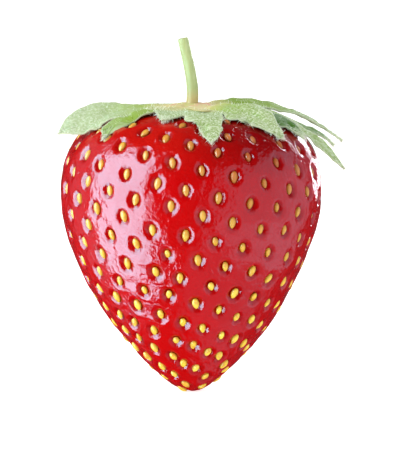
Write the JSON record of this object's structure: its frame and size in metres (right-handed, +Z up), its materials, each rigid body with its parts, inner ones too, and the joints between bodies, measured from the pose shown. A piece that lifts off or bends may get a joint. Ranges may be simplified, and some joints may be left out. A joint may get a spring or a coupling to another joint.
{
  "type": "strawberry",
  "caption": "Ripe conical strawberry standing on its tip, with pitted red flesh, a spreading green leafy calyx and a short curved stalk.",
  "frame": {"origin": "the middle of the small flat spot at the berry's tip, which it stands on", "axes": "+Z up the berry's core to the stalk, +X to the side that the stalk leans away from, +Y to the back"},
  "size_m": [0.0404, 0.036, 0.0489],
  "materials": {
    "berry_skin": "moist glossy fruit skin",
    "calyx_disc": "pale fleshy plant tissue",
    "calyx_leaf": "soft downy leaf",
    "stalk": "smooth green stem"
  },
  "bodies": {
    "root": {"berry": "berry_skin", "calyx_disc": "calyx_disc", "stalk": "stalk", "sepal_left": "calyx_leaf", "bractlet_back_left": "calyx_leaf", "sepal_back_left": "calyx_leaf", "sepal_back_right": "calyx_leaf", "sepal_right_high": "calyx_leaf", "bractlet_right_middle": "calyx_leaf", "bractlet_right_low": "calyx_leaf", "bractlet_right_short": "calyx_leaf", "sepal_front_right": "calyx_leaf", "sepal_front": "calyx_leaf", "sepal_front_left": "calyx_leaf", "bractlet_front_left": "calyx_leaf"}
  },
  "joints": []
}
